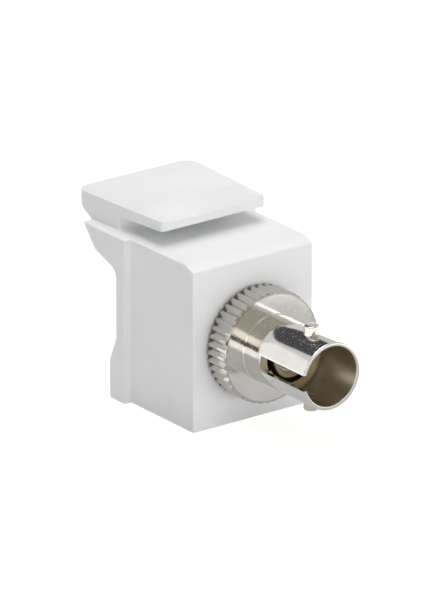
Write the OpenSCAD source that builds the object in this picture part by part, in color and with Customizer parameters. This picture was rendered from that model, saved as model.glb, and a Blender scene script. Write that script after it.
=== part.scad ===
// Snap-in module with a bayonet fibre adapter.
// A white moulded housing with a sprung latch plate on its roof carries a turned,
// nickel-plated adapter. A plug enters the front barrel and another the rear one,
// and their ferrules meet inside a split ceramic sleeve.
// Units are millimetres. The port axis is the Y axis and the plug leaves towards -Y.
// Y = 0 is the front face of the housing, where the two ferrule tips meet.

/* [Housing] */
// Width across the side faces
body_w = 14.3; // [14.1:0.1:15.2]
// Height from the base to the roof
body_h = 16.9; // [16.6:0.1:18.4]
// Height of the port axis above the base
axis_h = 8.1; // [7.7:0.1:8.5]
// Depth of the body in front of its side shoulders
shoulder_y = 10.1; // [9:0.1:10.8]
// How far each side flange stands out from its side face
flange_out = 0.8; // [0.4:0.1:1.2]
// Thickness of the wall that carries the adapter
front_wall = 2.0; // [1.6:0.1:2.4]
// Thickness of the side walls
side_wall = 1.2; // [1:0.05:1.3]
// Thickness of the floor
floor_wall = 1.2; // [0.9:0.05:1.3]
// Thickness of the roof
roof_wall = 1.4; // [1:0.1:1.8]
// Depth of the slope along the top front edge
brow_depth = 1.3; // [0.6:0.1:1.8]
// Drop of the slope along the top front edge
brow_drop = 0.5; // [0.2:0.1:0.9]
// Radius of the upright edges of the front face
edge_r = 0.3; // [0.15:0.05:0.6]

/* [Rear outline] */
// Depth of the foot at the base
foot_y = 12.55; // [12.1:0.05:13]
// Height of the foot's rear face
foot_h = 4.0; // [2.8:0.1:4.2]
// Depth of the waist of the side walls
waist_y = 11.5; // [11.2:0.05:11.8]
// Height at which the waist begins
waist_low = 6.45; // [5.6:0.1:7]
// Radius of the bend over the waist
waist_bend_r = 1.1; // [0.8:0.1:2.2]
// Depth at which the slope over the waist turns steeper
shelf_y = 14.95; // [14.2:0.1:15.3]
// Height at which the slope over the waist turns steeper
shelf_h = 14.6; // [14.4:0.1:15]
// Rise of the slope over the waist
shelf_rise = 1.22; // [0.9:0.02:1.4]
// Depth of the side walls at their top corner
crest_y = 16.8; // [16.2:0.1:17.2]
// Cut-off corner at the bottom of the foot
foot_bevel = 0.25; // [0.1:0.05:0.6]

/* [Latch] */
// Width of the latch plate at its lip
lip_w = 12.4; // [11.4:0.1:13]
// Width of the latch plate at its tail
tail_w = 13.8; // [13:0.1:14.2]
// Radius of the corners at the lip, seen from above
lip_corner_r = 0.4; // [0.1:0.05:0.8]
// Radius of the corners at the tail, seen from above
tail_corner_r = 1.4; // [0.6:0.1:2]
// Depth at which the lip of the plate stands
lip_y = 6.3; // [5.8:0.1:7]
// Height of the lip's top over the roof
lip_rise = 2.6; // [2.4:0.05:2.9]
// Thickness of the plate at its lip
lip_t = 1.0; // [0.8:0.05:1.1]
// Depth of the plate's rear face
tail_y = 19.5; // [19:0.1:20]
// Height of the tail's top over the roof
tail_rise = 2.45; // [2.4:0.05:2.8]
// Height of the upright part of the tail
tail_face = 1.0; // [0.8:0.1:1.4]
// Height of the gap at its closed end
gap_h = 1.4; // [1.1:0.05:1.45]
// Depth of the closed end of the gap
gap_end_y = 13.15; // [12.9:0.05:13.6]
// Depth at which the plate bends
bend_y = 12.0; // [11.6:0.1:12.2]
// Depth of the root's rear foot on the roof
root_rear_y = 17.0; // [16.9:0.1:17.8]
// Length of the lead-in ramp behind the lip
ramp_len = 4.6; // [3:0.1:5.2]
// Depth of the lead-in ramp at the lip
ramp_drop = 0.16; // [0.05:0.01:0.3]
// Distance of the ramp's sides from the middle
ramp_side = 5.6; // [5:0.1:5.9]
// Distance of the ramp's left rear corner from the middle
ramp_rear_left = 2.7; // [1.5:0.1:4]

/* [Adapter barrel] */
// Outside radius of the barrel
barrel_r = 3.4; // [3.35:0.01:3.5]
// Radius of the port
port_r = 3.0; // [2.9:0.01:3.05]
// Distance from the flange's face to the mouth
barrel_len = 9.45; // [9:0.05:10.5]
// Radius of the bore behind the port
inner_r = 2.55; // [2.4:0.01:2.7]
// Width of the cone at the foot of the barrel
foot_slope = 0.08; // [0.05:0.01:0.25]
// Bevel on the outside edge of the mouth
mouth_bevel = 0.16; // [0.05:0.01:0.2]
// Bevel on the inside edge of the mouth
port_bevel = 0.1; // [0.05:0.01:0.15]

/* [Keyway and bayonet lugs] */
// Width of the keyway
key_w = 1.6; // [1.4:0.05:1.8]
// Length of the keyway from the mouth
key_len = 6.8; // [6.2:0.05:7.4]
// Radius of a lug
lug_r = 0.725; // [0.6:0.005:0.8]
// Distance of the lugs' centres behind the mouth
lug_back = 3.2; // [2.8:0.05:3.6]
// Radius that the tips of the lugs reach
lug_tip_r = 4.3; // [4.15:0.01:4.4]
// Bevel on the tip of a lug
lug_bevel = 0.12; // [0.05:0.01:0.2]

/* [Knurled flange] */
// Outside radius of the flange
ring_r = 5.65; // [5.5:0.01:6]
// Thickness of the flange
ring_t = 3.0; // [2.6:0.05:3.4]
// Number of teeth in the knurl
ring_teeth = 42; // [30:1:48]
// Depth of the knurl
tooth_depth = 0.3; // [0.15:0.01:0.4]
// Share of the pitch that a tooth's crest takes
crest_share = 0.42; // [0.3:0.01:0.6]
// Share of the pitch that the floor between two teeth takes
floor_share = 0.12; // [0.06:0.01:0.2]
// Length of the slope on the front ends of the teeth
ring_front_bevel = 0.3; // [0.1:0.01:0.4]
// Length of the slope on the rear ends of the teeth
ring_rear_bevel = 0.3; // [0.1:0.01:0.5]

/* [Threaded shank and nut] */
// Radius of the shank over its thread
shank_r = 4.76; // [4.7:0.01:4.8]
// Length of the shank behind the front face
shank_len = 6.4; // [5.8:0.1:7]
// Bevel at the end of the thread
shank_bevel = 0.4; // [0.2:0.05:0.6]
// Width of the nut across its flats
nut_af = 11.1; // [10.9:0.05:11.2]
// Thickness of the nut
nut_t = 2.0; // [1.6:0.1:2.6]
// Height of the bevel that rounds the nut's corners
nut_bevel = 0.35; // [0.2:0.05:0.5]

/* [Sleeve and holders] */
// Radius of the ferrule bore
ferrule_r = 1.25; // [1.24:0.001:1.26]
// Outside radius of the split sleeve
sleeve_r = 1.6; // [1.55:0.01:1.65]
// Length of the split sleeve
sleeve_len = 11.4; // [10.6:0.1:11.5]
// Width of the sleeve's slit
slit_w = 0.5; // [0.3:0.05:0.7]
// Outside radius of a sleeve holder
holder_r = 2.05; // [2:0.01:2.2]
// Radius of the opening in a holder's end
holder_mouth_r = 1.5; // [1.48:0.01:1.54]
// Thickness of the lip that keeps the sleeve in its holder
holder_lip_t = 0.4; // [0.3:0.05:0.6]
// Width of the step between the barrel and the flange of a sleeve holder
seat_step = 0.2; // [0.1:0.01:0.3]
// Thickness of the flange of a sleeve holder
seat_t = 1.6; // [1.2:0.05:2]

/* [Fits] */
// Play of the shank in the hole of the housing
hole_play = 0.1; // [0.05:0.01:0.2]
// Play of each flat of the nut beside its rail
nut_play = 0.15; // [0.1:0.01:0.2]
// Gap between the thread of the shank and of the nut
thread_gap = 0.02; // [0.01:0.005:0.05]
// Gap round the pieces that are pressed in
press_gap = 0.01; // [0.005:0.005:0.03]
// Play of the split sleeve in its holders
sleeve_play = 0.05; // [0.03:0.01:0.08]
// Play of each end of the sleeve inside its holder
sleeve_end_play = 0.1; // [0.05:0.01:0.2]

/* [Hidden] */
$fn = 96;
plastic = [0.93, 0.93, 0.93];
nickel = [0.70, 0.67, 0.62];
bright_nickel = [0.78, 0.76, 0.72];
ceramic = [0.95, 0.94, 0.88];
eps = 0.01;
base_z = -axis_h;
roof_z = body_h - axis_h;
half_w = body_w / 2;
inner_half_w = half_w - side_wall;
mouth_y = ring_t + barrel_len;
lug_y = mouth_y - lug_back;
key_end_y = mouth_y - key_len;
bend_steps = 6;
gap_end_r = gap_h / 2;
function plate_top(y) = lip_rise + (tail_rise - lip_rise) * (y - lip_y) / (tail_y - lip_y);
lip_under = lip_rise - lip_t;
seat_r = barrel_r + seat_step;
cut_over = 1;
nut_corner_r = nut_af / sqrt(3);
nut_relief_r = nut_corner_r + nut_play;
holder_bore_r = sleeve_r + sleeve_play;
holder_lip_y = sleeve_len / 2 + sleeve_end_play;
holder_end_y = holder_lip_y + holder_lip_t;
// The port keeps its full radius down to the holder's end
port_end_y = holder_end_y;

function unit(v) = v / norm(v);

// Points of the arc that rounds the corner b between the points a and c
function rounded_corner(a, b, c, radius) =
    let(
        u = unit(a - b),
        v = unit(c - b),
        half = acos(u * v) / 2,
        centre = b + unit(u + v) * radius / sin(half),
        start = b + u * radius / tan(half) - centre,
        end = b + v * radius / tan(half) - centre,
        a0 = atan2(start[1], start[0]),
        turn = atan2(end[1], end[0]) - a0,
        sweep = turn > 180 ? turn - 360 : turn < -180 ? turn + 360 : turn
    )
    [for (i = [0 : bend_steps])
        centre + radius * [cos(a0 + sweep * i / bend_steps), sin(a0 + sweep * i / bend_steps)]];

// Turns a shape so that its own z runs along +Y
module along_y() {
    rotate([-90, 0, 0]) children();
}

// A side outline in (y, z above the base) made into a slab across x
module side_slab(half_width) {
    translate([-half_width, 0, base_z])
        rotate([90, 0, 90])
            linear_extrude(2 * half_width) children();
}

// A ring of the given radii between two depths
module tube(outer_r, inner_radius, y0, y1) {
    along_y() translate([0, 0, y0]) difference() {
        cylinder(r = outer_r, h = y1 - y0);
        translate([0, 0, -eps]) cylinder(r = inner_radius, h = y1 - y0 + 2 * eps);
    }
}

module rod(radius, y0, y1) {
    along_y() translate([0, 0, y0]) cylinder(r = radius, h = y1 - y0);
}

// The outline of the housing seen from the side
module body_outline() {
    shelf = [shelf_y, shelf_h];
    waist_top = [waist_y, shelf_h - shelf_rise];
    waist_foot = [waist_y, waist_low];
    polygon(concat(
        [
            [0, 0],
            [0, body_h - brow_drop],
            [brow_depth, body_h],
            [crest_y, body_h],
            shelf
        ],
        rounded_corner(shelf, waist_top, waist_foot, waist_bend_r),
        [
            waist_foot,
            [foot_y, foot_h],
            [foot_y, foot_bevel],
            [foot_y - foot_bevel, 0]
        ]
    ));
}

// A block as wide as the body whose upright front edges are rounded
module soft_block() {
    translate([-half_w, edge_r, base_z]) cube([body_w, 2 * body_h, body_h]);
    translate([edge_r - half_w, 0, base_z]) cube([body_w - 2 * edge_r, 2 * edge_r, body_h]);
    for (side = [-1, 1])
        translate([side * (half_w - edge_r), edge_r, base_z]) cylinder(r = edge_r, h = body_h);
}

// The outline of latch plate and root seen from above
module plate_plan() {
    front_left = [-lip_w / 2, lip_y];
    front_right = [lip_w / 2, lip_y];
    rear_right = [tail_w / 2, tail_y];
    rear_left = [-tail_w / 2, tail_y];
    polygon(concat(
        rounded_corner(rear_left, front_left, front_right, lip_corner_r),
        rounded_corner(front_left, front_right, rear_right, lip_corner_r),
        rounded_corner(front_right, rear_right, rear_left, tail_corner_r),
        rounded_corner(rear_right, rear_left, front_left, tail_corner_r)
    ));
}

// The slab of the roof that reaches back under the latch's root
module root_tongue() {
    intersection() {
        translate([-tail_w, crest_y - roof_wall, roof_z - roof_wall])
            cube([2 * tail_w, root_rear_y - crest_y + roof_wall, roof_wall]);
        translate([0, 0, roof_z - 2 * roof_wall]) linear_extrude(4 * roof_wall) plate_plan();
    }
}

// The outline of latch plate and root over the roof, seen from the side
module latch_outline() {
    difference() {
        polygon([
            [lip_y - eps, lip_under],
            [lip_y - eps, lip_rise],
            [tail_y + eps, tail_rise],
            [tail_y + eps, tail_rise - tail_face],
            [root_rear_y, 0],
            [gap_end_y - gap_end_r, 0],
            [gap_end_y - gap_end_r, gap_h]
        ]);
        translate([gap_end_y - gap_end_r, gap_end_r]) circle(r = gap_end_r);
    }
}

// The part of the latch's moulding between two depths
module latch_slab(y0, y1) {
    intersection() {
        translate([0, 0, body_h]) side_slab(tail_w) latch_outline();
        translate([0, 0, roof_z - eps]) linear_extrude(2 * lip_rise) plate_plan();
        translate([-tail_w, y0, roof_z - eps]) cube([2 * tail_w, y1 - y0, 2 * lip_rise]);
    }
}

// The shallow pocket of the lead-in ramp behind the lip, narrower towards its rear end
module ramp_cut() {
    ramp_y = lip_y + ramp_len;
    intersection() {
        translate([0, 0, body_h]) side_slab(2 * ramp_side) polygon([
            [lip_y - cut_over, plate_top(lip_y) - ramp_drop * (1 + cut_over / ramp_len)],
            [ramp_y, plate_top(ramp_y)],
            [lip_y - cut_over, plate_top(lip_y) + cut_over]
        ]);
        translate([0, 0, roof_z]) linear_extrude(2 * lip_rise) polygon([
            [-ramp_side, lip_y - cut_over],
            [ramp_side, lip_y - cut_over],
            [ramp_side, ramp_y],
            [-ramp_rear_left, ramp_y],
            [-ramp_side, lip_y]
        ]);
    }
}

// Two rails behind the front wall that keep the nut from turning
module nut_rails() {
    rail_x = nut_af / 2 + nut_play;
    rail_h = nut_corner_r;
    for (side = [-1, 1]) {
        x0 = side < 0 ? -half_w + eps : rail_x;
        translate([x0, front_wall - eps, -rail_h / 2])
            cube([half_w - rail_x - eps, nut_t + nut_bevel + eps, rail_h]);
    }
}

module housing() {
    color(plastic) difference() {
        union() {
            difference() {
                union() {
                    intersection() {
                        side_slab(half_w + flange_out) body_outline();
                        soft_block();
                    }
                    intersection() {
                        side_slab(half_w + flange_out) body_outline();
                        translate([-body_w, shoulder_y, base_z]) cube([2 * body_w, body_h, body_h]);
                    }
                }
                translate([-inner_half_w, front_wall, base_z + floor_wall])
                    cube([2 * inner_half_w, 2 * body_h, body_h - floor_wall - roof_wall]);
                rod(nut_relief_r, front_wall, front_wall + nut_t + nut_play);
            }
            nut_rails();
            root_tongue();
            latch_slab(bend_y, 2 * tail_y);
        }
        rod(shank_r + hole_play, -eps, front_wall + eps);
    }
}

module latch() {
    color(plastic) difference() {
        latch_slab(lip_y - cut_over, bend_y);
        ramp_cut();
    }
}

// The teeth of the knurl, seen along the port axis
module knurl_outline() {
    pitch = 360 / ring_teeth;
    crest = pitch * crest_share;
    root = pitch * floor_share;
    root_r = ring_r - tooth_depth;
    polygon([
        for (i = [0 : ring_teeth - 1])
            for (edge = [[-crest / 2, ring_r], [crest / 2, ring_r],
                         [pitch / 2 - root / 2, root_r], [pitch / 2 + root / 2, root_r]])
                [edge[1] * cos(i * pitch + edge[0]), edge[1] * sin(i * pitch + edge[0])]
    ]);
}

// The knurled flange: toothed prism, cut to slopes at both ends
module knurled_flange() {
    front = -ring_t;
    along_y() intersection() {
        translate([0, 0, front]) linear_extrude(ring_t) knurl_outline();
        rotate_extrude() polygon([
            [0, front],
            [ring_r - ring_front_bevel, front],
            [ring_r + eps, front + ring_front_bevel + eps],
            [ring_r + eps, -ring_rear_bevel - eps],
            [ring_r - ring_rear_bevel, 0],
            [0, 0]
        ]);
    }
}

// A barrel from the given depth to its mouth, open along its port, on the +y side
module barrel_shell(y0) {
    along_y() rotate_extrude() polygon([
        [inner_r, y0],
        [barrel_r, y0],
        [barrel_r, mouth_y - mouth_bevel],
        [barrel_r - mouth_bevel, mouth_y],
        [port_r + port_bevel, mouth_y],
        [port_r, mouth_y - port_bevel],
        [port_r, port_end_y],
        [inner_r, port_end_y]
    ]);
}

// What is cut out of a barrel on the +y side: its keyway and two lug holes
module barrel_cuts() {
    translate([-barrel_r - cut_over, key_end_y, -key_w / 2])
        cube([barrel_r + cut_over - inner_r / 2, key_len + cut_over, key_w]);
    translate([0, lug_y, -barrel_r - cut_over])
        cylinder(r = lug_r + press_gap, h = 2 * (barrel_r + cut_over));
}

module adapter_body() {
    color(nickel) difference() {
        union() {
            knurled_flange();
            mirror([0, 1, 0]) barrel_shell(ring_t - eps);
            mirror([0, 1, 0]) along_y() rotate_extrude() polygon([
                [inner_r, ring_t - eps],
                [barrel_r + foot_slope, ring_t - eps],
                [barrel_r + foot_slope, ring_t],
                [barrel_r - eps, ring_t + foot_slope + eps],
                [inner_r, ring_t + foot_slope + eps]
            ]);
            along_y() rotate_extrude() polygon([
                [0, -eps],
                [shank_r, -eps],
                [shank_r, shank_len - shank_bevel],
                [shank_r - shank_bevel, shank_len],
                [0, shank_len]
            ]);
        }
        rod(inner_r, -mouth_y, shank_len);
        rod(seat_r, -seat_t, shank_len + eps);
        mirror([0, 1, 0]) barrel_cuts();
    }
}

module rear_barrel() {
    color(nickel) difference() {
        union() {
            barrel_shell(seat_t);
            tube(seat_r - press_gap, inner_r, seat_t, shank_len);
        }
        barrel_cuts();
    }
}

// A lug: a short pin set in the wall, from the port's radius out to its tip
module lug(y, side) {
    color(bright_nickel) translate([0, y, 0]) mirror([0, 0, side < 0 ? 1 : 0]) {
        translate([0, 0, port_r]) cylinder(r = lug_r, h = lug_tip_r - port_r - lug_bevel);
        translate([0, 0, lug_tip_r - lug_bevel])
            cylinder(r1 = lug_r, r2 = lug_r - lug_bevel, h = lug_bevel);
    }
}

module front_upper_lug() {
    lug(-lug_y, 1);
}

module front_lower_lug() {
    lug(-lug_y, -1);
}

module rear_upper_lug() {
    lug(lug_y, 1);
}

module rear_lower_lug() {
    lug(lug_y, -1);
}

// Half of the cage of the sleeve, on the +y side
module sleeve_holder() {
    lead = (holder_bore_r - holder_mouth_r) / 2;
    color(nickel) along_y() rotate_extrude() polygon([
        [holder_bore_r, 0],
        [seat_r - press_gap, 0],
        [seat_r - press_gap, seat_t],
        [holder_r, seat_t],
        [holder_r, holder_end_y - lead],
        [holder_r - lead, holder_end_y],
        [holder_mouth_r + lead, holder_end_y],
        [holder_mouth_r, holder_end_y - lead],
        [holder_mouth_r, holder_lip_y],
        [holder_bore_r, holder_lip_y]
    ]);
}

module front_sleeve_holder() {
    mirror([0, 1, 0]) sleeve_holder();
}

module rear_sleeve_holder() {
    sleeve_holder();
}

module alignment_sleeve() {
    color(ceramic) difference() {
        tube(sleeve_r, ferrule_r, -sleeve_len / 2, sleeve_len / 2);
        translate([-slit_w / 2, -sleeve_len, 0]) cube([slit_w, 2 * sleeve_len, 2 * sleeve_r]);
    }
}

// A hexagon nut with its corners up and down, its edges cut back by a cone
module panel_nut() {
    bevel_r = nut_af / 2;
    rise = nut_corner_r - bevel_r;
    color(bright_nickel) translate([0, front_wall, 0]) along_y() difference() {
        intersection() {
            rotate([0, 0, 90]) cylinder(r = nut_corner_r, h = nut_t, $fn = 6);
            rotate_extrude() polygon([
                [0, 0],
                [bevel_r, 0],
                [bevel_r + rise, nut_bevel],
                [bevel_r + rise, nut_t - nut_bevel],
                [bevel_r, nut_t],
                [0, nut_t]
            ]);
        }
        translate([0, 0, -eps]) cylinder(r = shank_r + thread_gap, h = nut_t + 2 * eps);
    }
}

housing();
latch();
adapter_body();
front_upper_lug();
front_lower_lug();
front_sleeve_holder();
alignment_sleeve();
rear_sleeve_holder();
rear_barrel();
rear_upper_lug();
rear_lower_lug();
panel_nut();
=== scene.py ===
import math

import bmesh
import bpy
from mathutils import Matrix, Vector


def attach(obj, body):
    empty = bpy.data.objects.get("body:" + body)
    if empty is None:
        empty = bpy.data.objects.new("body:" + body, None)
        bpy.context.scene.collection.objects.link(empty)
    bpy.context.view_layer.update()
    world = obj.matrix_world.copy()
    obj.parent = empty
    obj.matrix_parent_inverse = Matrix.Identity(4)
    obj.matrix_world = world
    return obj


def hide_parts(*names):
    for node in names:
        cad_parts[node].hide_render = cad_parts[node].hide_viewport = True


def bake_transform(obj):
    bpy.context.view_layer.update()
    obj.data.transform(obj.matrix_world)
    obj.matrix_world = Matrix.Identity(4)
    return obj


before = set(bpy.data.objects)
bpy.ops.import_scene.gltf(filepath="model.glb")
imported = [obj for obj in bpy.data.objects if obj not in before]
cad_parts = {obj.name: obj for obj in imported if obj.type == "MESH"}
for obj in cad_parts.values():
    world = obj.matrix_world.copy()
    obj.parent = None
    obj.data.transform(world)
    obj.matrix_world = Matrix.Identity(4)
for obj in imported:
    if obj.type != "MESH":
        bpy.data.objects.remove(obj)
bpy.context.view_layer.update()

# Sizes are in millimetres until a piece is finished, as in the part's source.
# The port axis is the Y axis, and the front face of the housing is at Y = 0.
MM = 0.001

# Housing, with heights counted from its base
BODY_W, BODY_H, AXIS_H = 14.3, 16.9, 8.1
BASE_Z, ROOF_Z = -AXIS_H, BODY_H - AXIS_H
SHOULDER_Y, FLANGE_OUT = 10.1, 0.8
FRONT_WALL, SIDE_WALL, FLOOR_WALL, ROOF_WALL = 2.0, 1.2, 1.2, 1.4
BROW_DEPTH, BROW_DROP = 1.3, 0.5
FOOT_Y, FOOT_H, FOOT_BEVEL = 12.55, 4.0, 0.25
WAIST_Y, WAIST_LOW, WAIST_BEND_R = 11.5, 6.45, 1.1
SHELF_Y, SHELF_H, SHELF_RISE, CREST_Y = 14.95, 14.6, 1.22, 16.8
EDGE_R = 0.3

# Latch, with heights counted from the roof
LIP_W, LIP_Y, LIP_RISE, LIP_T, LIP_CORNER_R = 12.4, 6.3, 2.6, 1.0, 0.4
TAIL_W, TAIL_Y, TAIL_RISE, TAIL_FACE, TAIL_CORNER_R = 13.8, 19.5, 2.45, 1.0, 1.4
GAP_H, GAP_END_Y, ROOT_REAR_Y = 1.4, 13.15, 17.0
RAMP_LEN, RAMP_DROP, RAMP_SIDE, RAMP_REAR_LEFT = 4.6, 0.16, 5.6, 2.7
RAMP_FLARE = 0.5
ROOT_SINK = 0.05
LATCH_EDGE_R = 0.16
# The plate is cut across at even steps
BEND_CUT_Y, BEND_CUT_STEP, BEND_CUTS = 9.4, 0.25, 13

# Adapter
BARREL_R, PORT_R, INNER_R, BARREL_LEN = 3.4, 3.0, 2.55, 9.45
FOOT_SLOPE = 0.08
KEY_W, KEY_LEN = 1.6, 6.8
LUG_R, LUG_BACK, LUG_TIP_R, LUG_BEVEL = 0.725, 3.2, 4.3, 0.12
# The flutes are shallower and the front bevel finer than the solid's, as the photo shows
RING_R, RING_T, RING_TEETH, TOOTH_DEPTH = 5.65, 3.0, 42, 0.22
RING_FRONT_BEVEL, RING_REAR_BEVEL = 0.16, 0.3
SHANK_R, SHANK_LEN, SHANK_BEVEL = 4.76, 6.4, 0.4
THREAD_PITCH, THREAD_DEPTH, THREAD_START_Y = 0.794, 0.3, 0.25
# Where a crest ends and a groove's floor begins and ends, as shares of the pitch
CREST_END, GROOVE_START, GROOVE_END = 0.1, 0.45, 0.65
NUT_AF, NUT_T, NUT_BEVEL = 11.1, 2.0, 0.35
FERRULE_R, SLEEVE_R, SLEEVE_LEN, SLIT_W = 1.25, 1.6, 11.4, 0.5
HOLDER_R, HOLDER_MOUTH_R, HOLDER_LIP_T = 2.05, 1.5, 0.4
SEAT_R, SEAT_T = BARREL_R + 0.2, 1.6
HOLE_PLAY, NUT_PLAY, THREAD_GAP, PRESS_GAP = 0.1, 0.15, 0.02, 0.01
SLEEVE_PLAY, SLEEVE_END_PLAY = 0.05, 0.1
MOUTH_Y = RING_T + BARREL_LEN
LUG_Y = MOUTH_Y - LUG_BACK
KEY_END_Y = MOUTH_Y - KEY_LEN
HOLDER_END_Y = SLEEVE_LEN / 2 + SLEEVE_END_PLAY + HOLDER_LIP_T
TOOTH_COLUMNS = 8
TURN_STEPS = RING_TEETH * TOOTH_COLUMNS
# How deep each column of a flute lies, as a share of the tooth's depth, and how much of
# that depth is drawn
FLUTE = ((2, 0.3), (3, 0.8), (4, 1.0), (5, 0.8), (6, 0.3))
DRAWN_SHARE = 0.97
RIM_INNER_R, RIM_OUTER_R = 0.1, 0.14

# A cutting piece reaches this far beyond what it cuts
OVER = 1.0
MERGE_DISTANCE = 0.0004


# Modelling helpers

def deselect():
    if bpy.context.mode != "OBJECT":
        bpy.ops.object.mode_set(mode="OBJECT")
    bpy.ops.object.select_all(action="DESELECT")


def take(piece):
    deselect()
    piece.select_set(True)
    bpy.context.view_layer.objects.active = piece


def name_piece(name):
    piece = bpy.context.object
    piece.name = name
    piece.data.name = name
    return piece


def draw_face(name, points):
    """A flat face with these corners, drawn corner by corner from one vertex."""
    deselect()
    bpy.ops.mesh.primitive_plane_add(size=1, location=points[0])
    piece = name_piece(name)
    bpy.ops.object.transform_apply(location=True, rotation=False, scale=False)
    bpy.ops.object.mode_set(mode="EDIT")
    bpy.ops.mesh.select_mode(type="VERT")
    bpy.ops.mesh.select_all(action="SELECT")
    bpy.ops.mesh.merge(type="CENTER")
    for here, there in zip(points, points[1:]):
        step = Vector(there) - Vector(here)
        bpy.ops.mesh.extrude_vertices_move(TRANSFORM_OT_translate={"value": step})
    bpy.ops.mesh.select_all(action="SELECT")
    bpy.ops.mesh.edge_face_add()
    return piece


def slab(name, outline, x0, x1):
    """A side outline of (y, z) points made into a slab from x0 to x1."""
    piece = draw_face(name, [(x0, y, z) for y, z in outline])
    bpy.ops.mesh.extrude_region_move(TRANSFORM_OT_translate={"value": (x1 - x0, 0, 0)})
    bpy.ops.mesh.select_all(action="SELECT")
    bpy.ops.mesh.normals_make_consistent(inside=False)
    deselect()
    return piece


def prism(name, plan, z0, z1):
    """A plan of (x, y) points made into a prism from z0 up to z1."""
    piece = draw_face(name, [(x, y, z0) for x, y in plan])
    bpy.ops.mesh.extrude_region_move(TRANSFORM_OT_translate={"value": (0, 0, z1 - z0)})
    bpy.ops.mesh.select_all(action="SELECT")
    bpy.ops.mesh.normals_make_consistent(inside=False)
    deselect()
    return piece


def turned(name, profile, steps=TURN_STEPS, angle=2 * math.pi, start=0.0):
    """A profile of (radius, y) points spun about the port axis."""
    across = (math.cos(start), math.sin(start))
    piece = draw_face(name, [(r * across[0], y, r * across[1]) for r, y in profile])
    whole = angle > 2 * math.pi - 1e-6
    if whole:
        bpy.ops.mesh.delete(type="ONLY_FACE")
        bpy.ops.mesh.select_all(action="SELECT")
    bpy.ops.mesh.spin(steps=steps, angle=angle, center=(0, 0, 0), axis=(0, 1, 0))
    bpy.ops.mesh.select_all(action="SELECT")
    bpy.ops.mesh.remove_doubles(threshold=MERGE_DISTANCE)
    bpy.ops.mesh.normals_make_consistent(inside=False)
    deselect()
    return piece


def block(name, low, high):
    """A box between two corners."""
    deselect()
    middle = [(a + b) / 2 for a, b in zip(low, high)]
    bpy.ops.mesh.primitive_cube_add(size=1, location=middle)
    piece = name_piece(name)
    piece.scale = [b - a for a, b in zip(low, high)]
    bpy.ops.object.transform_apply(location=True, rotation=True, scale=True)
    return piece


def pin(name, radius, low, high, axis="Y", sides=96):
    """A round bar along an axis, centred on the port axis, from low to high."""
    deselect()
    middle, length = (low + high) / 2, high - low
    spot = (0, middle, 0) if axis == "Y" else (0, 0, middle)
    turn = (math.pi / 2, 0, 0) if axis == "Y" else (0, 0, 0)
    bpy.ops.mesh.primitive_cylinder_add(
        vertices=sides, radius=radius, depth=length, location=spot, rotation=turn)
    piece = name_piece(name)
    bpy.ops.object.transform_apply(location=True, rotation=True, scale=True)
    return piece


def pick(piece, kind, test):
    """In edit mode, selects the vertices, edges or faces whose place passes the test."""
    take(piece)
    bpy.ops.object.mode_set(mode="EDIT")
    bpy.ops.mesh.select_mode(type=kind)
    bpy.ops.mesh.select_all(action="DESELECT")
    mesh = bmesh.from_edit_mesh(piece.data)
    if kind == "VERT":
        for vertex in mesh.verts:
            vertex.select_set(test(vertex.co))
    elif kind == "EDGE":
        for edge in mesh.edges:
            edge.select_set(test(edge.verts[0].co, edge.verts[1].co))
    else:
        for face in mesh.faces:
            face.select_set(test(face.calc_center_median(), face.normal))
    mesh.select_flush_mode()
    bmesh.update_edit_mesh(piece.data)


def combine(piece, tool, operation):
    """Applies a Boolean modifier with another piece and removes that piece."""
    take(piece)
    bpy.ops.object.modifier_add(type="BOOLEAN")
    cut = piece.modifiers[-1]
    cut.object = tool
    cut.operation = operation
    cut.solver = "EXACT"
    bpy.ops.object.modifier_apply(modifier=cut.name)
    take(tool)
    bpy.ops.object.delete()
    take(piece)


def soften(piece, width, segments=3, angle=30):
    """Rounds the piece's sharp edges with a Bevel modifier."""
    take(piece)
    bpy.ops.object.modifier_add(type="BEVEL")
    bevel = piece.modifiers[-1]
    bevel.width = width
    bevel.segments = segments
    bevel.limit_method = "ANGLE"
    bevel.angle_limit = math.radians(angle)
    bevel.use_clamp_overlap = True
    bevel.harden_normals = False
    bpy.ops.object.modifier_apply(modifier=bevel.name)


def mirror(piece, factors):
    """Turns a piece into its mirror image, with -1 for the axis that changes."""
    take(piece)
    bpy.ops.object.mode_set(mode="EDIT")
    bpy.ops.mesh.select_all(action="SELECT")
    bpy.ops.transform.resize(value=factors, center_override=(0, 0, 0))
    bpy.ops.mesh.normals_make_consistent(inside=False)
    take(piece)


def finish_piece(piece, material, node, body, smooth=30):
    """Sets the size to metres, the finish, the shading, and what the piece stands for."""
    take(piece)
    bpy.ops.object.mode_set(mode="EDIT")
    bpy.ops.mesh.select_all(action="SELECT")
    bpy.ops.mesh.remove_doubles(threshold=MERGE_DISTANCE)
    take(piece)
    piece.scale = (MM, MM, MM)
    bpy.ops.object.transform_apply(location=True, rotation=True, scale=True)
    bpy.ops.object.shade_smooth_by_angle(angle=math.radians(smooth))
    piece.data.materials.clear()
    piece.data.materials.append(material)
    if body:
        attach(piece, body)
    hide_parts(node)
    return piece


def arc(centre, radius, start, end, steps):
    """Points of an arc between two angles in degrees."""
    turns = [math.radians(start + (end - start) * i / steps) for i in range(steps + 1)]
    return [(centre[0] + radius * math.cos(t), centre[1] + radius * math.sin(t))
            for t in turns]


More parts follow.
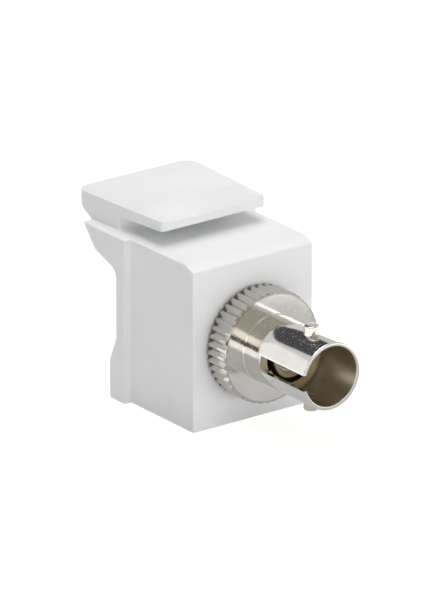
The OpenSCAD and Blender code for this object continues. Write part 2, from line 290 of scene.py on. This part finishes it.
def rounded(before, corner, after, radius, steps=6):
    """Points of the arc that rounds a corner between two neighbours."""
    b = Vector(corner)
    u = (Vector(before) - b).normalized()
    v = (Vector(after) - b).normalized()
    half = math.acos(u.dot(v)) / 2
    centre = b + (u + v).normalized() * (radius / math.sin(half))
    start = b + u * (radius / math.tan(half)) - centre
    end = b + v * (radius / math.tan(half)) - centre
    first = math.atan2(start.y, start.x)
    sweep = math.atan2(end.y, end.x) - first
    if sweep > math.pi:
        sweep -= 2 * math.pi
    if sweep < -math.pi:
        sweep += 2 * math.pi
    return [(centre.x + radius * math.cos(first + sweep * i / steps),
             centre.y + radius * math.sin(first + sweep * i / steps))
            for i in range(steps + 1)]


# Materials

PORT_TONE, PORT_ROUGHNESS = (0.64, 0.57, 0.47, 1), 0.36
# The knurl's own tone, then the painted shade of the crevice behind the flange
KNURL_TONE, PAINTED_CREVICE_SHADE = (0.56, 0.535, 0.50, 1), (0.17, 0.15, 0.12, 1)
SCUFF_ROUGHNESS = 0.38
# The painted shade of the crevice begins and is full at these places on a crest, and lies
# further forward by this many times the depth in a flute
CREVICE_SHADE_START_Y, CREVICE_SHADE_FULL_Y, CREVICE_SHADE_SLANT = -0.45, -0.20, -2.2


def new_material(name):
    material = bpy.data.materials.new(name)
    material.use_nodes = True
    nodes, links = material.node_tree.nodes, material.node_tree.links
    return material, nodes, links, nodes["Principled BSDF"]


def noise(nodes, links, vector, scale, detail=3.0, roughness=0.5):
    node = nodes.new("ShaderNodeTexNoise")
    node.inputs["Scale"].default_value = scale
    node.inputs["Detail"].default_value = detail
    node.inputs["Roughness"].default_value = roughness
    links.new(vector, node.inputs["Vector"])
    return node.outputs["Fac"]


def ramp(nodes, links, value, low, high, low_at=0.0, high_at=1.0):
    node = nodes.new("ShaderNodeValToRGB")
    node.color_ramp.elements[0].position = low_at
    node.color_ramp.elements[0].color = low
    node.color_ramp.elements[1].position = high_at
    node.color_ramp.elements[1].color = high
    links.new(value, node.inputs["Fac"])
    return node.outputs["Color"]


def spread(nodes, links, value, low, high):
    """Maps a value from 0..1 to low..high."""
    node = nodes.new("ShaderNodeMapRange")
    node.inputs["To Min"].default_value = low
    node.inputs["To Max"].default_value = high
    links.new(value, node.inputs["Value"])
    return node.outputs["Result"]


def bump(nodes, links, height, strength, distance, before=None):
    node = nodes.new("ShaderNodeBump")
    node.inputs["Strength"].default_value = strength
    node.inputs["Distance"].default_value = distance
    links.new(height, node.inputs["Height"])
    if before is not None:
        links.new(before, node.inputs["Normal"])
    return node.outputs["Normal"]


def maths(nodes, links, operation, *values):
    """A Math node whose inputs are sockets or numbers."""
    node = nodes.new("ShaderNodeMath")
    node.operation = operation
    for value, slot in zip(values, node.inputs):
        if isinstance(value, bpy.types.NodeSocket):
            links.new(value, slot)
        else:
            slot.default_value = value
    return node.outputs["Value"]


def faded(nodes, links, value, low, high):
    """Nought at the low place, in millimetres, and one at the high one."""
    node = nodes.new("ShaderNodeMapRange")
    node.interpolation_type = "SMOOTHSTEP"
    node.inputs["From Min"].default_value = low * MM
    node.inputs["From Max"].default_value = high * MM
    links.new(value, node.inputs["Value"])
    return node.outputs["Result"]


def between(nodes, links, share, first, second):
    """A colour or a number that goes from the first to the second with the share."""
    node = nodes.new("ShaderNodeMix")
    number = isinstance(first, float) or isinstance(second, float)
    if not number:
        node.data_type = "RGBA"
    links.new(share, node.inputs["Factor"])
    for name, side in (("A", first), ("B", second)):
        socket = [i for i in node.inputs if i.name == name and i.enabled][0]
        if isinstance(side, bpy.types.NodeSocket):
            links.new(side, socket)
        else:
            socket.default_value = side
    return [o for o in node.outputs if o.enabled][0]


def moulded_plastic():
    """Satin white plastic with the faint orange peel of a mould."""
    material, nodes, links, shader = new_material("white_plastic")
    place = nodes.new("ShaderNodeTexCoord").outputs["Object"]
    broad = noise(nodes, links, place, 160, detail=2.0)
    tone = ramp(nodes, links, broad, (0.91, 0.915, 0.92, 1), (0.935, 0.94, 0.945, 1), 0.35, 0.65)
    links.new(tone, shader.inputs["Base Color"])
    peel = noise(nodes, links, place, 2600, detail=2.0)
    links.new(spread(nodes, links, peel, 0.40, 0.52), shader.inputs["Roughness"])
    grain = noise(nodes, links, place, 9000, detail=1.0)
    first = bump(nodes, links, peel, 0.10, 0.00002)
    links.new(bump(nodes, links, grain, 0.06, 0.000006, first), shader.inputs["Normal"])
    shader.inputs["Specular IOR Level"].default_value = 0.4
    return material


def turned_nickel(name, dark, light, rough_low, rough_high, marks):
    """Nickel plate over turned brass: fine rings that follow the lathe, dull in the ports, with
    painted shade in the crevice behind the flange.
    """
    material, nodes, links, shader = new_material(name)
    place = nodes.new("ShaderNodeTexCoord").outputs["Object"]
    split = nodes.new("ShaderNodeSeparateXYZ")
    links.new(place, split.inputs["Vector"])
    flat = nodes.new("ShaderNodeCombineXYZ")
    links.new(split.outputs["X"], flat.inputs["X"])
    links.new(split.outputs["Z"], flat.inputs["Y"])
    reach = nodes.new("ShaderNodeVectorMath")
    reach.operation = "LENGTH"
    links.new(flat.outputs["Vector"], reach.inputs[0])
    radius = reach.outputs["Value"]
    lathe = nodes.new("ShaderNodeCombineXYZ")
    links.new(radius, lathe.inputs["X"])
    links.new(split.outputs["Y"], lathe.inputs["Y"])
    rings = noise(nodes, links, lathe.outputs["Vector"], 9000, detail=3.0)
    cloud = noise(nodes, links, place, 420, detail=3.0)
    tone = ramp(nodes, links, cloud, dark, light, 0.3, 0.7)
    # Painted shade darkens the crevice where the flange meets the housing, and reaches further
    # forward in the flutes
    rim = maths(nodes, links, "MAXIMUM", radius, (RING_R - TOOTH_DEPTH) * MM)
    depth = maths(nodes, links, "MULTIPLY_ADD", rim, CREVICE_SHADE_SLANT, split.outputs["Y"])
    crest = CREVICE_SHADE_SLANT * RING_R
    rear = faded(nodes, links, depth, crest + CREVICE_SHADE_START_Y, crest + CREVICE_SHADE_FULL_Y)
    knurl = faded(nodes, links, radius, RING_R - 0.35, RING_R - 0.25)
    tone = between(nodes, links, knurl, tone, KNURL_TONE)
    tone = between(nodes, links, rear, tone, PAINTED_CREVICE_SHADE)
    outside = faded(nodes, links, radius, PORT_R + 0.01, PORT_R + 0.09)
    coat = between(nodes, links, outside, PORT_TONE, tone)
    links.new(coat, shader.inputs["Base Color"])
    shader.inputs["Metallic"].default_value = 1.0
    scuffs = noise(nodes, links, place, 4600, detail=4.0, roughness=0.7)
    scuffed = ramp(nodes, links, scuffs, (0, 0, 0, 1), (1, 1, 1, 1), 0.595, 0.66)
    polish = spread(nodes, links, rings, rough_low, rough_high)
    worn = between(nodes, links, scuffed, polish, SCUFF_ROUGHNESS)
    links.new(between(nodes, links, outside, PORT_ROUGHNESS, worn), shader.inputs["Roughness"])
    waves = noise(nodes, links, place, 900, detail=1.0)
    first = bump(nodes, links, waves, 0.08, 0.00003)
    pores = noise(nodes, links, place, 3600, detail=2.0)
    second = bump(nodes, links, pores, 0.15, 0.00001, first)
    links.new(bump(nodes, links, rings, marks, 0.000004, second), shader.inputs["Normal"])
    return material


def ground_ceramic():
    """Ground and polished white ceramic."""
    material, nodes, links, shader = new_material("white_ceramic")
    place = nodes.new("ShaderNodeTexCoord").outputs["Object"]
    cloud = noise(nodes, links, place, 700, detail=2.0)
    tone = ramp(nodes, links, cloud, (0.74, 0.73, 0.67, 1), (0.80, 0.79, 0.74, 1), 0.3, 0.7)
    links.new(tone, shader.inputs["Base Color"])
    links.new(spread(nodes, links, cloud, 0.16, 0.26), shader.inputs["Roughness"])
    fine = noise(nodes, links, place, 12000, detail=1.0)
    links.new(bump(nodes, links, fine, 0.05, 0.000004), shader.inputs["Normal"])
    return material


# Housing and latch

def body_outline():
    """The outline of the housing seen from the side, as (y, z) from the port axis."""
    shelf = (SHELF_Y, SHELF_H)
    waist_top = (WAIST_Y, SHELF_H - SHELF_RISE)
    waist_foot = (WAIST_Y, WAIST_LOW)
    points = [(0, 0), (0, BODY_H - BROW_DROP), (BROW_DEPTH, BODY_H), (CREST_Y, BODY_H), shelf]
    points += rounded(shelf, waist_top, waist_foot, WAIST_BEND_R)
    points += [waist_foot, (FOOT_Y, FOOT_H), (FOOT_Y, FOOT_BEVEL), (FOOT_Y - FOOT_BEVEL, 0)]
    return [(y, z + BASE_Z) for y, z in points]


def plate_plan(name, z0, z1):
    """A prism with the outline of latch plate and root seen from above."""
    front_left, front_right = (-LIP_W / 2, LIP_Y), (LIP_W / 2, LIP_Y)
    rear_left, rear_right = (-TAIL_W / 2, TAIL_Y), (TAIL_W / 2, TAIL_Y)
    plan = rounded(rear_left, front_left, front_right, LIP_CORNER_R)
    plan += rounded(front_left, front_right, rear_right, LIP_CORNER_R)
    plan += rounded(front_right, rear_right, rear_left, TAIL_CORNER_R, steps=10)
    plan += rounded(rear_right, rear_left, front_left, TAIL_CORNER_R, steps=10)
    return prism(name, plan, z0, z1)


def raise_flanges(shell):
    """Cuts the side faces at the shoulders and draws their rear parts outwards."""
    for side in (-1, 1):
        pick(shell, "FACE", lambda at, normal: normal.x * side > 0.9)
        bpy.ops.mesh.bisect(plane_co=(0, SHOULDER_Y, 0), plane_no=(0, 1, 0))
        pick(shell, "FACE", lambda at, normal: normal.x * side > 0.9 and at.y > SHOULDER_Y)
        bpy.ops.mesh.extrude_region_move(
            TRANSFORM_OT_translate={"value": (side * FLANGE_OUT, 0, 0)})
        deselect()


def housing_moulding(material):
    """The moulded shell: flanged body, cavity, nut rails and the tongue under the latch."""
    half = BODY_W / 2
    inner = half - SIDE_WALL
    corner_r = NUT_AF / math.sqrt(3)
    shell = slab("housing_moulding", body_outline(), -half, half)
    raise_flanges(shell)
    soften(shell, EDGE_R, segments=4)
    tongue = block("tongue", (-TAIL_W, CREST_Y - ROOF_WALL, ROOF_Z - ROOF_WALL),
                   (TAIL_W, ROOT_REAR_Y, ROOF_Z))
    combine(tongue, plate_plan("plan", ROOF_Z - 2 * ROOF_WALL, ROOF_Z + ROOF_WALL), "INTERSECT")
    combine(shell, tongue, "UNION")
    cavity = block("cavity", (-inner, FRONT_WALL, BASE_Z + FLOOR_WALL),
                   (inner, 3 * BODY_H, ROOF_Z - ROOF_WALL))
    relief = pin("relief", corner_r + NUT_PLAY, FRONT_WALL - OVER / 2,
                 FRONT_WALL + NUT_T + NUT_PLAY)
    keep = block("keep", (-BODY_W, -OVER, -BODY_H), (BODY_W, FRONT_WALL, BODY_H))
    combine(relief, keep, "DIFFERENCE")
    combine(cavity, relief, "UNION")
    rail_x = NUT_AF / 2 + NUT_PLAY
    for side in (-1, 1):
        low_x, high_x = sorted((side * rail_x, side * (half + OVER)))
        rail = block("rail", (low_x, FRONT_WALL - OVER / 2, -corner_r / 2),
                     (high_x, FRONT_WALL + NUT_T + NUT_BEVEL, corner_r / 2))
        combine(cavity, rail, "DIFFERENCE")
    combine(shell, cavity, "DIFFERENCE")
    combine(shell, pin("hole", SHANK_R + HOLE_PLAY, -OVER, FRONT_WALL + OVER), "DIFFERENCE")
    return finish_piece(shell, material, "housing", "module")


def plate_top(y):
    return LIP_RISE + (TAIL_RISE - LIP_RISE) * (y - LIP_Y) / (TAIL_Y - LIP_Y)


def latch_moulding(material):
    """The sprung plate, its lead-in ramp and the root that holds it on the roof."""
    gap_r = GAP_H / 2
    under = LIP_RISE - LIP_T
    points = [(LIP_Y, under), (LIP_Y, LIP_RISE), (TAIL_Y, TAIL_RISE),
              (TAIL_Y, TAIL_RISE - TAIL_FACE), (ROOT_REAR_Y, -ROOT_SINK),
              (GAP_END_Y - gap_r, -ROOT_SINK)]
    points += arc((GAP_END_Y - gap_r, gap_r), gap_r, -90, 90, 16)
    outline = [(y, z + ROOF_Z) for y, z in points]
    plate = slab("latch_moulding", outline, -TAIL_W, TAIL_W)
    combine(plate, plate_plan("plan", ROOF_Z - OVER, ROOF_Z + 2 * LIP_RISE), "INTERSECT")
    soften(plate, LATCH_EDGE_R, segments=3, angle=25)
    ramp_y = LIP_Y + RAMP_LEN
    front_y, rear_y = LIP_Y - 2 * OVER, ramp_y + OVER
    top = ROOF_Z + plate_top(LIP_Y)
    wedge = slab("wedge", [(LIP_Y - OVER, top - RAMP_DROP * (1 + OVER / RAMP_LEN)),
                           (ramp_y, ROOF_Z + plate_top(ramp_y)), (LIP_Y - OVER, top + OVER)],
                 -TAIL_W, TAIL_W)
    plan = [(-RAMP_SIDE, front_y), (RAMP_SIDE, front_y), (RAMP_SIDE, rear_y),
            (-RAMP_REAR_LEFT, rear_y), (-RAMP_REAR_LEFT, ramp_y), (-RAMP_SIDE, LIP_Y)]
    sides = prism("sides", plan, top - OVER, top + OVER)
    # The ramp's sides lean outwards towards the top
    for way in (1, -1):
        pick(sides, "VERT", lambda at: (at.z - top) * way > 0)
        bpy.ops.transform.resize(value=(1 + way * RAMP_FLARE, 1, 1), center_override=(0, 0, 0))
    combine(wedge, sides, "INTERSECT")
    combine(plate, wedge, "DIFFERENCE")
    take(plate)
    for number in range(BEND_CUTS):
        bpy.ops.object.mode_set(mode="EDIT")
        bpy.ops.mesh.select_all(action="SELECT")
        bpy.ops.mesh.bisect(plane_co=(0, BEND_CUT_Y + BEND_CUT_STEP * number, 0),
                            plane_no=(0, 1, 0))
        bpy.ops.object.mode_set(mode="OBJECT")
    finish_piece(plate, material, "latch", None)
    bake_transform(plate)
    return plate


# Adapter

def mouth_points():
    """The rounded rim of a barrel's mouth, from inside to outside, on the +Y side."""
    rim = arc((PORT_R + RIM_INNER_R, MOUTH_Y - RIM_INNER_R), RIM_INNER_R, 180, 90, 4)
    return rim + arc((BARREL_R - RIM_OUTER_R, MOUTH_Y - RIM_OUTER_R), RIM_OUTER_R, 90, 0, 5)


def thread_points(first, last):
    """A thread's grooves along the shank, as (radius, y) points."""
    points = []
    y = first
    while y + THREAD_PITCH <= last:
        points += [(SHANK_R, y), (SHANK_R, y + CREST_END * THREAD_PITCH),
                   (SHANK_R - THREAD_DEPTH, y + GROOVE_START * THREAD_PITCH),
                   (SHANK_R - THREAD_DEPTH, y + GROOVE_END * THREAD_PITCH)]
        y += THREAD_PITCH
    points += [(SHANK_R, y), (SHANK_R, y + CREST_END * THREAD_PITCH)]
    return points


def sink_roots(body):
    """Draws the columns between the crests of the knurl inwards, along both slopes."""
    pitch = 2 * math.pi / RING_TEETH
    close = 0.02

    def on_column(at, column, ring_y):
        turn = math.atan2(at.z, at.x) % pitch
        nearest = round(turn / (pitch / TOOTH_COLUMNS)) % TOOTH_COLUMNS
        return (nearest == column and abs(at.y - ring_y) < close
                and math.hypot(at.x, at.z) > RING_R - close)

    for column, share in FLUTE:
        depth = TOOTH_DEPTH * share * DRAWN_SHARE
        for ring_y, away in ((-RING_T + RING_FRONT_BEVEL, -1), (-RING_REAR_BEVEL, 1)):
            pick(body, "VERT", lambda at: on_column(at, column, ring_y))
            shrink = (RING_R - depth) / RING_R
            bpy.ops.transform.resize(value=(shrink, 1, shrink), center_override=(0, 0, 0))
            bpy.ops.transform.translate(value=(0, away * depth, 0))
    deselect()


def cut_port(barrel, side):
    """Cuts the keyway and the two lug holes of the barrel on one side."""
    low_y, high_y = sorted((side * KEY_END_Y, side * (MOUTH_Y + OVER)))
    key = block("key", (-BARREL_R - OVER, low_y, -KEY_W / 2), (-INNER_R / 2, high_y, KEY_W / 2))
    combine(barrel, key, "DIFFERENCE")
    drill = pin("drill", LUG_R + PRESS_GAP, -BARREL_R - OVER, BARREL_R + OVER, axis="Z",
                sides=48)
    take(drill)
    drill.location = (0, side * LUG_Y, 0)
    bpy.ops.object.transform_apply(location=True, rotation=False, scale=False)
    combine(barrel, drill, "DIFFERENCE")


def adapter_body(material):
    """Knurled flange, front barrel and threaded shank, turned from one bar."""
    profile = [(r, -y) for r, y in mouth_points()]
    profile += [(BARREL_R, -RING_T - FOOT_SLOPE), (BARREL_R + FOOT_SLOPE, -RING_T),
                (RING_R - RING_FRONT_BEVEL, -RING_T),
                (RING_R, -RING_T + RING_FRONT_BEVEL), (RING_R, -RING_REAR_BEVEL),
                (RING_R - RING_REAR_BEVEL, 0), (SHANK_R, 0)]
    profile += thread_points(THREAD_START_Y, SHANK_LEN - SHANK_BEVEL)
    profile += [(SHANK_R - SHANK_BEVEL, SHANK_LEN), (SEAT_R, SHANK_LEN), (SEAT_R, -SEAT_T),
                (INNER_R, -SEAT_T), (INNER_R, -HOLDER_END_Y), (PORT_R, -HOLDER_END_Y)]
    body = turned("adapter_shell", profile)
    sink_roots(body)
    cut_port(body, -1)
    return finish_piece(body, material, "adapter_body", "module")


def rear_barrel(material):
    """The rear barrel, whose spigot is pressed into the shank."""
    spigot = SEAT_R - PRESS_GAP
    profile = mouth_points()
    profile += [(BARREL_R, SHANK_LEN), (spigot, SHANK_LEN), (spigot, SEAT_T),
                (INNER_R, SEAT_T), (INNER_R, HOLDER_END_Y), (PORT_R, HOLDER_END_Y)]
    barrel = turned("rear_port", profile)
    cut_port(barrel, 1)
    return finish_piece(barrel, material, "rear_barrel", "module")


def lug(node, y, side, material):
    """A short pin set in the barrel's wall."""
    piece = pin(node + "_pin", LUG_R, PORT_R, LUG_TIP_R, axis="Z", sides=64)
    pick(piece, "FACE", lambda at, normal: normal.z > 0.9)
    bpy.ops.mesh.bevel(offset=LUG_BEVEL, segments=3, affect="EDGES")
    take(piece)
    if side < 0:
        mirror(piece, (1, 1, -1))
    piece.location = (0, y, 0)
    bpy.ops.object.transform_apply(location=True, rotation=False, scale=False)
    return finish_piece(piece, material, node, "module", smooth=40)


def sleeve_holder(node, side, material):
    """Half of the cage that keeps the split sleeve."""
    bore = SLEEVE_R + SLEEVE_PLAY
    lip_y = HOLDER_END_Y - HOLDER_LIP_T
    lead = (bore - HOLDER_MOUTH_R) / 2
    profile = [(bore, 0), (SEAT_R - PRESS_GAP, 0), (SEAT_R - PRESS_GAP, SEAT_T),
               (HOLDER_R, SEAT_T), (HOLDER_R, HOLDER_END_Y - lead),
               (HOLDER_R - lead, HOLDER_END_Y), (HOLDER_MOUTH_R + lead, HOLDER_END_Y),
               (HOLDER_MOUTH_R, HOLDER_END_Y - lead), (HOLDER_MOUTH_R, lip_y), (bore, lip_y)]
    piece = turned(node + "_cage", profile, steps=96)
    if side < 0:
        mirror(piece, (1, -1, 1))
    return finish_piece(piece, material, node, "module")


def split_sleeve(material):
    """The ceramic sleeve, spun almost all the way round so that its slit stays open."""
    half = SLEEVE_LEN / 2
    slit = 2 * math.asin(SLIT_W / 2 / ((SLEEVE_R + FERRULE_R) / 2))
    profile = [(FERRULE_R, -half), (FERRULE_R, half), (SLEEVE_R, half), (SLEEVE_R, -half)]
    # The slit faces up, and spin turns from +Z towards +X
    piece = turned("split_sleeve", profile, steps=90, angle=2 * math.pi - slit,
                   start=math.pi / 2 - slit / 2)
    return finish_piece(piece, material, "alignment_sleeve", "module")


def hexagon_nut(material):
    """The thin nut behind the wall, its corners cut back by a cone on each side."""
    corner_r = NUT_AF / math.sqrt(3)
    bevel_r = NUT_AF / 2
    core_r, clear_r = 1.0, corner_r + 0.001
    front_y, rear_y = FRONT_WALL, FRONT_WALL + NUT_T
    nut = pin("hexagon_nut", corner_r, front_y, rear_y, sides=6)
    cone = turned("cone", [(core_r, front_y), (bevel_r, front_y),
                           (clear_r, front_y + NUT_BEVEL), (clear_r, rear_y - NUT_BEVEL),
                           (bevel_r, rear_y), (core_r, rear_y)], steps=120)
    combine(nut, cone, "INTERSECT")
    combine(nut, pin("bore", SHANK_R + THREAD_GAP, 0, 4 * NUT_T), "DIFFERENCE")
    return finish_piece(nut, material, "panel_nut", "module", smooth=25)


# Camera, light and floor

LONG_SIDE, PICTURE_W, PICTURE_H = 590, 443, 590
CAMERA_TURN, CAMERA_TILT = math.radians(36.66), math.radians(20.79)
PIXELS_PER_MM = 10.396
# The point of the port axis at AIM_Y is seen at this place in the picture
AIM_Y = 3
CENTRE_X, CENTRE_Y = 234.36, 329.96
CAMERA_AWAY = 1000.0


def make_camera():
    """The photograph's view, from far away with a long lens."""
    turn, tilt = CAMERA_TURN, CAMERA_TILT
    back = Vector((-math.sin(turn) * math.cos(tilt), -math.cos(turn) * math.cos(tilt),
                   math.sin(tilt)))
    right = Vector((math.cos(turn), -math.sin(turn), 0))
    up = back.cross(right)
    aim = Vector((0, AIM_Y, 0))
    aim -= right * ((CENTRE_X - PICTURE_W / 2) / PIXELS_PER_MM)
    aim += up * ((CENTRE_Y - PICTURE_H / 2) / PIXELS_PER_MM)
    lens = bpy.data.cameras.new("camera")
    lens.sensor_width = 36
    lens.lens = PIXELS_PER_MM * CAMERA_AWAY * lens.sensor_width / LONG_SIDE
    lens.clip_start, lens.clip_end = 0.05, 20
    camera = bpy.data.objects.new("camera", lens)
    bpy.context.scene.collection.objects.link(camera)
    camera.rotation_mode = "QUATERNION"
    camera.location = (aim + back * CAMERA_AWAY) * MM
    camera.rotation_quaternion = (-back).to_track_quat("-Z", "Y")
    bpy.context.scene.camera = camera


def area_light(name, place, size, power, glossy=True):
    """A white light box that faces the origin, where the port axis leaves the housing."""
    light = bpy.data.lights.new(name, "AREA")
    light.shape = "RECTANGLE"
    light.size, light.size_y = size
    light.energy = power
    lamp = bpy.data.objects.new(name, light)
    bpy.context.scene.collection.objects.link(lamp)
    lamp.location = place
    lamp.rotation_mode = "QUATERNION"
    lamp.rotation_quaternion = (-Vector(place)).to_track_quat("-Z", "Y")
    lamp.visible_camera = False
    lamp.visible_glossy = glossy


def make_world():
    """White to the camera, soft light on the object, and a studio for the metal to mirror."""
    world = bpy.data.worlds.new("studio")
    bpy.context.scene.world = world
    world.use_nodes = True
    nodes, links = world.node_tree.nodes, world.node_tree.links
    nodes.clear()
    output = nodes.new("ShaderNodeOutputWorld")
    path = nodes.new("ShaderNodeLightPath")
    place = nodes.new("ShaderNodeTexCoord").outputs["Generated"]
    way = nodes.new("ShaderNodeSeparateXYZ")
    links.new(place, way.inputs["Vector"])

    def plain(colour, strength=1.0):
        light = nodes.new("ShaderNodeBackground")
        light.inputs["Color"].default_value = (colour[0], colour[1], colour[2], 1)
        light.inputs["Strength"].default_value = strength
        return light.outputs["Background"]

    def sky(stops, strength):
        """Light that depends on the height of the direction it comes from."""
        height = nodes.new("ShaderNodeMapRange")
        height.inputs["From Min"].default_value = -1
        links.new(way.outputs["Z"], height.inputs["Value"])
        colours = nodes.new("ShaderNodeValToRGB")
        elements = colours.color_ramp.elements
        while len(elements) < len(stops):
            elements.new(0.5)
        for element, (at, grey) in zip(elements, stops):
            element.position = at
            element.color = (grey[0], grey[1], grey[2], 1)
        links.new(height.outputs["Result"], colours.inputs["Fac"])
        light = nodes.new("ShaderNodeBackground")
        light.inputs["Strength"].default_value = strength
        links.new(colours.outputs["Color"], light.inputs["Color"])
        return light.outputs["Background"]

    def step(value, low, high, first, last):
        node = nodes.new("ShaderNodeMapRange")
        node.interpolation_type = "SMOOTHSTEP"
        node.inputs["From Min"].default_value = low
        node.inputs["From Max"].default_value = high
        node.inputs["To Min"].default_value = first
        node.inputs["To Max"].default_value = last
        links.new(value, node.inputs["Value"])
        return node.outputs["Result"]

    def window(axis, low, high, edge):
        """One between two limits of a direction's part, falling to nought beside them."""
        value = way.outputs[axis]
        return maths(nodes, links, "MULTIPLY", step(value, low - edge, low, 0, 1),
                     step(value, high, high + edge, 1, 0))

    def mixed(share, first, second):
        mix = nodes.new("ShaderNodeMixShader")
        links.new(share, mix.inputs["Fac"])
        links.new(first, mix.inputs[1])
        links.new(second, mix.inputs[2])
        return mix.outputs["Shader"]

    soft = sky([(0.0, (0.62, 0.62, 0.62)), (0.5, (0.66, 0.66, 0.66)),
                (1.0, (0.95, 0.95, 0.96))], 0.55)
    # Less light comes from the left
    soft = mixed(window("X", -1, -0.5, 0.3), soft, plain((0.22, 0.22, 0.22)))
    mirrored = sky([(0.0, (0.74, 0.73, 0.71)), (0.5, (0.80, 0.79, 0.77)),
                    (0.62, (0.62, 0.61, 0.59)), (0.85, (0.75, 0.74, 0.73)),
                    (1.0, (1.0, 0.99, 0.97))], 1.0)
    # What stands in the studio: the windows that bound it, its colour and its strength
    for bounds, colour, strength in (
            # A dim corner in front, above the panel
            ((("Y", -1, -0.3, 0.15), ("X", -0.7, 0.48, 0.12), ("Z", 0.44, 0.80, 0.08)),
             (0.45, 0.43, 0.36), 1.0),
            # A bright panel in front on the left, seen in the bevels that face it
            ((("Y", -1, -0.3, 0.15), ("X", -1, -0.25, 0.15), ("Z", 0.22, 0.40, 0.04)),
             (1.0, 0.94, 0.84), 1.25),
            # A dark stripe near the horizon, seen in the barrel by way of the flange
            ((("Y", -1, -0.3, 0.2), ("X", -1, -0.2, 0.2), ("Z", -0.05, 0.15, 0.03)),
             (0.13, 0.10, 0.08), 1.0),
            # A bright strip along the floor's edge on the right
            ((("X", 0.45, 0.95, 0.1), ("Z", -0.2, 0.15, 0.05)), (1.0, 1.0, 0.95), 1.6),
            # A white wall behind on the left
            ((("Y", 0.3, 1, 0.2), ("X", -1, -0.46, 0.08), ("Z", -1, 0.50, 0.1)),
             (1, 1, 0.99), 1.05),
            # A dark patch behind in the middle
            ((("Y", 0.3, 1, 0.25), ("X", -0.34, 0.47, 0.06), ("Z", 0.16, 0.80, 0.08)),
             (0.07, 0.07, 0.08), 1.0)):
        share = window(*bounds[0])
        for bound in bounds[1:]:
            share = maths(nodes, links, "MULTIPLY", share, window(*bound))
        mirrored = mixed(share, mirrored, plain(colour, strength))
    seen = mixed(path.outputs["Is Glossy Ray"], soft, mirrored)
    links.new(mixed(path.outputs["Is Camera Ray"], seen, plain((1, 1, 1))),
              output.inputs["Surface"])


def make_floor():
    """A white floor that keeps a soft shadow, is white to the camera, and glows to glossy rays.
    """
    deselect()
    bpy.ops.mesh.primitive_plane_add(size=6, location=(0, 0, (BASE_Z - 0.02) * MM))
    floor = name_piece("floor")
    material, nodes, links, shader = new_material("white_floor")
    shader.inputs["Base Color"].default_value = (0.94, 0.94, 0.94, 1)
    shader.inputs["Roughness"].default_value = 0.9
    shader.inputs["Specular IOR Level"].default_value = 0.0
    # Painted reflection: to glossy rays the floor glows, dimmer close to a spot before the
    # object as painted shade and brighter far from it as painted light
    away = nodes.new("ShaderNodeVectorMath")
    away.operation = "DISTANCE"
    away.inputs[1].default_value = (0, -0.018, 0)
    links.new(nodes.new("ShaderNodeTexCoord").outputs["Object"], away.inputs[0])
    far = faded(nodes, links, away.outputs["Value"], 21, 34)
    path = nodes.new("ShaderNodeLightPath")
    mirrored = between(nodes, links, far, 0.58, 1.55)
    glow = nodes.new("ShaderNodeEmission")
    glow.inputs["Color"].default_value = (1, 1, 0.98, 1)
    links.new(between(nodes, links, path.outputs["Is Camera Ray"], mirrored, 1.10),
              glow.inputs["Strength"])
    glow_share = 0.85
    share = maths(nodes, links, "MAXIMUM",
                  spread(nodes, links, path.outputs["Is Camera Ray"], 0.0, glow_share),
                  spread(nodes, links, path.outputs["Is Glossy Ray"], 0.0, glow_share))
    mix = nodes.new("ShaderNodeMixShader")
    links.new(share, mix.inputs["Fac"])
    links.new(shader.outputs["BSDF"], mix.inputs[1])
    links.new(glow.outputs["Emission"], mix.inputs[2])
    links.new(mix.outputs["Shader"], nodes["Material Output"].inputs["Surface"])
    floor.data.materials.append(material)


def build():
    plastic = moulded_plastic()
    nickel = turned_nickel("nickel_plate", (0.74, 0.72, 0.69, 1), (0.82, 0.805, 0.78, 1),
                           0.06, 0.13, 0.08)
    bright = turned_nickel("bright_nickel", (0.66, 0.64, 0.60, 1), (0.74, 0.72, 0.68, 1),
                           0.06, 0.12, 0.06)
    ceramic = ground_ceramic()
    housing_moulding(plastic)
    latch_moulding(plastic)
    adapter_body(nickel)
    rear_barrel(nickel)
    for node, y, side in (("front_upper_lug", -LUG_Y, 1), ("front_lower_lug", -LUG_Y, -1),
                          ("rear_upper_lug", LUG_Y, 1), ("rear_lower_lug", LUG_Y, -1)):
        lug(node, y, side, bright)
    sleeve_holder("front_sleeve_holder", -1, nickel)
    sleeve_holder("rear_sleeve_holder", 1, nickel)
    split_sleeve(ceramic)
    hexagon_nut(bright)


bpy.context.scene.view_settings.view_transform = "Standard"
make_camera()
build()
make_world()
make_floor()
area_light("top_box", (-0.03, 0.02, 0.6), (0.8, 0.4), 2.42)
area_light("front_box", (0.12, -0.8, 0.03), (0.7, 0.12), 1.7, glossy=False)
